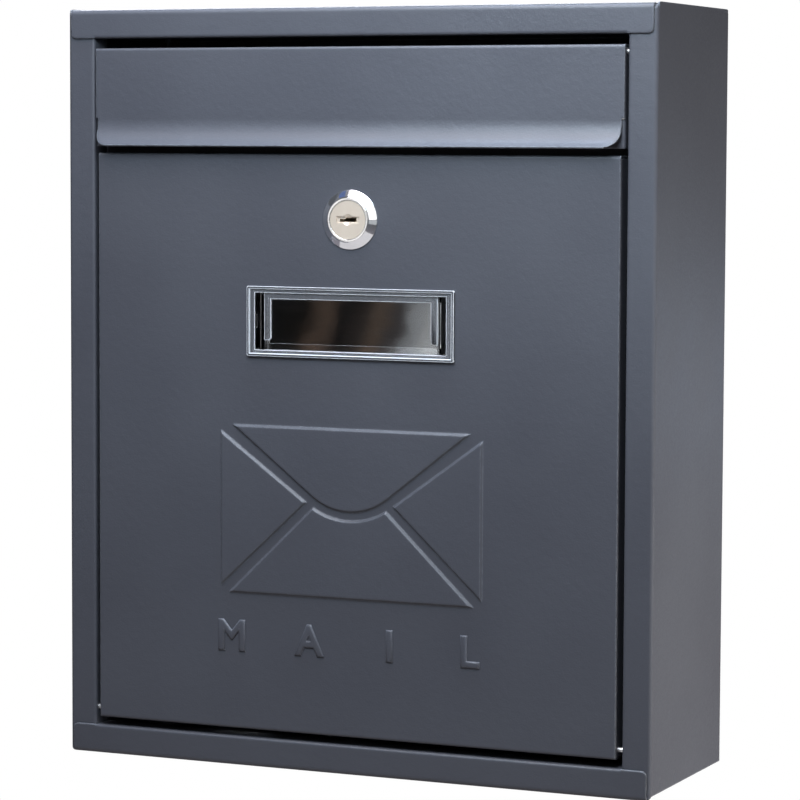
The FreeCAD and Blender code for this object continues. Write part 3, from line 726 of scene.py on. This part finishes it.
studioValues = {
    "floorSize": 30.0,
    "floorDrop": 0.14,                # room under the case for the open door
    "floorShade": (0.93, 0.93, 0.93),
    "floorBounce": (0.16, 0.14, 0.14),
    "whiteReach": (0.12, 0.35),       # distances from the middle between which the floor turns white
    "whiteShare": (0.95, 1.0),        # share of plain white at those distances, the rest takes shadows
    "white": (1.0, 1.0, 1.0),
    "above": (0.14, 0.14, 0.15),
    "level": (0.05, 0.045, 0.045),
    "below": (0.04, 0.036, 0.036),
    "aboveFrom": 0.9,                 # upward and downward part of the view where the room is at its
    "belowFrom": -0.6,                # lightest and darkest
    "lamps": [
        {"name": "overheadSoftbox", "place": (0.0, -0.45, 0.80), "aim": (0.0, -0.10, 0.05),
         "size": (0.7, 0.4), "colour": (6.4, 5.8, 6.1)},
        {"name": "frontSoftbox", "place": (0.08, -0.47, 0.37), "aim": (0.0, -0.10, 0.07),
         "size": (0.4, 0.2), "colour": (3.0, 3.55, 4.05)},
        {"name": "topStrip", "place": (0.0, -0.16, 0.85), "aim": (0.0, -0.12, 0.0),
         "size": (0.6, 0.06), "colour": (4.4, 5.6, 7.0)},
        {"name": "sideSoftbox", "place": (0.55, -0.05, -0.128), "aim": (0.15, -0.05, -0.10),
         "size": (0.25, 0.105), "colour": (3.6, 3.5, 3.25), "mirrored": False},
        {"name": "sideStrip", "place": (0.50, 0.55, -0.03), "aim": (0.15, -0.05, 0.0),
         "size": (0.4, 0.05), "colour": (0.07, 0.10, 0.15)},
        {"name": "backSoftbox", "place": (-0.7, 0.9, 0.6), "aim": (0.0, 0.0, 0.0),
         "size": (0.8, 0.6), "colour": (20.0, 21.0, 24.0)},
    ],
    # cards that light nothing and show only in mirror-like and clear surfaces
    "cards": [
        {"name": "skyCard", "place": (0.12, -0.65, 0.95), "aim": upperDoor,
         "size": (1.3, 0.6), "strength": 3.2, "tone": (0.90, 0.96, 1.0)},
        {"name": "rightCard", "place": (0.80, -0.90, 0.45), "aim": upperDoor,
         "size": (0.6, 0.74), "strength": 1.5, "tone": (1.0, 0.99, 0.98)},
        {"name": "lowRightCard", "place": (0.80, -0.90, -0.05), "aim": upperDoor,
         "size": (0.6, 0.22), "strength": 0.45, "tone": (0.96, 0.98, 1.0)},
        {"name": "blueCard", "place": (-0.60, -0.31, 0.78), "aim": upperDoor,
         "size": (0.22, 0.20), "strength": 0.7, "tone": (0.015, 0.08, 0.34)},
        {"name": "floorCard", "place": (0.02, -0.30, -0.31), "aim": (0.02, -0.30, 1.0),
         "size": (0.8, 0.44), "strength": 0.75, "tone": (0.96, 0.93, 0.95)},
        {"name": "ringCard", "place": (-0.465, -1.10, 0.055), "aim": (-0.465, -0.10, 0.055),
         "size": (0.09, 0.07), "strength": 1.1, "tone": (1.0, 0.96, 0.92)},
        {"name": "paneCard", "place": (-0.464, -1.10, -0.038), "aim": (-0.464, -0.10, -0.038),
         "size": (0.16, 0.06), "strength": 3.6,
         # soft uneven bars of a dim room, from left to right across the card
         "across": (-0.536, -0.391), "slant": -3.0, "noise": (26.0, 3.0, 0.55), "waver": 0.25,
         "tones": ((0.0, (0.014, 0.014, 0.014)), (0.16, (0.018, 0.016, 0.014)), (0.28, (0.15, 0.105, 0.08)),
                   (0.42, (0.02, 0.018, 0.017)), (0.52, (0.05, 0.04, 0.035)), (0.62, (0.17, 0.125, 0.095)),
                   (0.72, (0.10, 0.09, 0.09)), (0.85, (0.60, 0.63, 0.66)), (1.0, (0.95, 0.98, 1.0)))},
    ],
}


def startTree(owner, kind, place):
    owner.use_nodes = True
    tree = owner.node_tree
    tree.nodes.clear()
    return tree, addNode(tree, kind, place)


def addLamp(values):
    bpy.ops.object.light_add(type="AREA", location=values["place"])
    lamp = bpy.context.object
    lamp.name = values["name"]
    lamp.data.shape = "RECTANGLE"
    lamp.data.size, lamp.data.size_y = values["size"]
    lamp.data.energy = max(values["colour"])
    lamp.data.color = [part / max(values["colour"]) for part in values["colour"]]
    lamp.visible_camera = False
    lamp.visible_glossy = values.get("mirrored", True)
    turnToAim(lamp, values)


def addRoomTone(tree, values):
    coords = addObjectPlace(tree, (-900, 0))
    split = addNode(tree, "ShaderNodeSeparateXYZ", (-700, 0))
    feed(tree, split.inputs["Vector"], coords)
    noise = addNoise(tree, (-700, -250), coords, *values["noise"])
    across = addRange(tree, (-450, 100), split.outputs["X"], values["across"])
    height = addMath(tree, (-450, -100), "SUBTRACT", split.outputs["Z"], values["place"][2])
    slanted = addMath(tree, (-200, 0), "MULTIPLY_ADD", height, values["slant"], across)
    waver = addMath(tree, (-200, -250), "SUBTRACT", noise, 0.5)      # the noise swings about a half
    place = addMath(tree, (50, 0), "MULTIPLY_ADD", waver, values["waver"], slanted)
    ramp = addNode(tree, "ShaderNodeValToRGB", (300, 0))
    ramp.color_ramp.interpolation = "EASE"
    steps = ramp.color_ramp.elements
    for index, (position, colour) in enumerate(values["tones"]):
        step = steps[index] if index < 2 else steps.new(position)      # a new ramp has two steps
        step.position = position
        step.color = (*colour, 1.0)
    feed(tree, ramp.inputs["Fac"], place)
    return ramp.outputs["Color"]


def makeCardMaterial(values):
    material = bpy.data.materials.new(values["name"])
    tree, output = startTree(material, "ShaderNodeOutputMaterial", (900, 0))
    glow = addNode(tree, "ShaderNodeEmission", (700, 0))
    colour = (*values["tone"], 1.0) if "tone" in values else addRoomTone(tree, values)
    feedAll(tree, glow, {"Color": colour, "Strength": values["strength"]})
    feed(tree, output.inputs["Surface"], glow.outputs[0])
    return material


def addCard(values):
    deselectAll()
    bpy.ops.mesh.primitive_plane_add(size=1, location=values["place"])
    card = bpy.context.object
    card.name = values["name"]
    card.scale = (*values["size"], 1.0)
    turnToAim(card, values)
    applyPlace(card)
    card.data.materials.append(makeCardMaterial(values))
    card.visible_camera = False
    card.visible_diffuse = False
    card.visible_shadow = False


def addSeenRay(tree, place):
    # one for what the camera sees, directly or through a clear piece
    path = addNode(tree, "ShaderNodeLightPath", (place[0] - 200, place[1]))
    seen = (path.outputs["Is Camera Ray"], path.outputs["Is Transmission Ray"])
    return addMath(tree, place, "MAXIMUM", *seen)


def addShaderMix(tree, place, factor, first, second):
    mix = addNode(tree, "ShaderNodeMixShader", place)
    for socket, item in zip(mix.inputs, (factor, first, second)):
        tree.links.new(item, socket)
    return mix.outputs[0]


def addDiffuse(tree, place, colour):
    diffuse = addNode(tree, "ShaderNodeBsdfDiffuse", place)
    feed(tree, diffuse.inputs["Color"], (*colour, 1.0))
    return diffuse.outputs[0]


def makeFloorMaterial(values):
    # white with a light shadow where it is seen, dull to scattered and mirrored rays,
    # and clear from below
    material = bpy.data.materials.new("studioFloor")
    tree, output = startTree(material, "ShaderNodeOutputMaterial", (1200, 0))
    white = addNode(tree, "ShaderNodeEmission", (200, -100)).outputs[0]
    clear = addNode(tree, "ShaderNodeBsdfTransparent", (800, -200)).outputs[0]
    shade = addDiffuse(tree, (200, 100), values["floorShade"])
    bounce = addDiffuse(tree, (500, 200), values["floorBounce"])
    reach = addNode(tree, "ShaderNodeVectorMath", (-700, -200), operation="LENGTH")
    feed(tree, reach.inputs[0], addObjectPlace(tree, (-900, -200)))
    fade = addRange(tree, (-400, -200), reach.outputs["Value"], values["whiteReach"], values["whiteShare"])
    seen = addShaderMix(tree, (500, 0), fade, shade, white)
    top = addShaderMix(tree, (800, 0), addSeenRay(tree, (0, 400)), bounce, seen)
    side = addNode(tree, "ShaderNodeNewGeometry", (500, 500))
    both = addShaderMix(tree, (1000, 0), side.outputs["Backfacing"], top, clear)
    feed(tree, output.inputs["Surface"], both)
    return material


def makeWorld(values):
    # a dim room, lighter above, for scattered and mirrored rays, and plain white where it is seen
    world = bpy.data.worlds.new("studioWorld")
    bpy.context.scene.world = world
    tree, output = startTree(world, "ShaderNodeOutputWorld", (1000, 0))
    background = addNode(tree, "ShaderNodeBackground", (800, 0))
    coords = addNode(tree, "ShaderNodeTexCoord", (-900, 0))
    split = addNode(tree, "ShaderNodeSeparateXYZ", (-700, 0))
    feed(tree, split.inputs["Vector"], coords.outputs["Generated"])
    high = addRange(tree, (-500, 100), split.outputs["Z"], (0.0, values["aboveFrom"]))
    low = addRange(tree, (-500, -200), split.outputs["Z"], (0.0, values["belowFrom"]))
    upper = addColourMix(tree, (-250, 100), high, values["level"], values["above"])
    room = addColourMix(tree, (0, 0), low, upper, values["below"])
    colour = addColourMix(tree, (300, 100), addSeenRay(tree, (150, 300)), room, values["white"])
    feed(tree, background.inputs["Color"], colour)
    feed(tree, output.inputs["Surface"], background.outputs[0])


def buildStudio(values):
    deselectAll()
    floorHeight = cadBounds[0][2] - values["floorDrop"]
    bpy.ops.mesh.primitive_plane_add(size=values["floorSize"], location=(0, 0, floorHeight))
    floor = bpy.context.object
    floor.name = "floor"
    floor.data.materials.append(makeFloorMaterial(values))
    for lamp in values["lamps"]:
        addLamp(lamp)
    for card in values["cards"]:
        addCard(card)
    makeWorld(values)
    bpy.context.scene.view_settings.view_transform = "Standard"


buildStudio(studioValues)
print("studio lit")
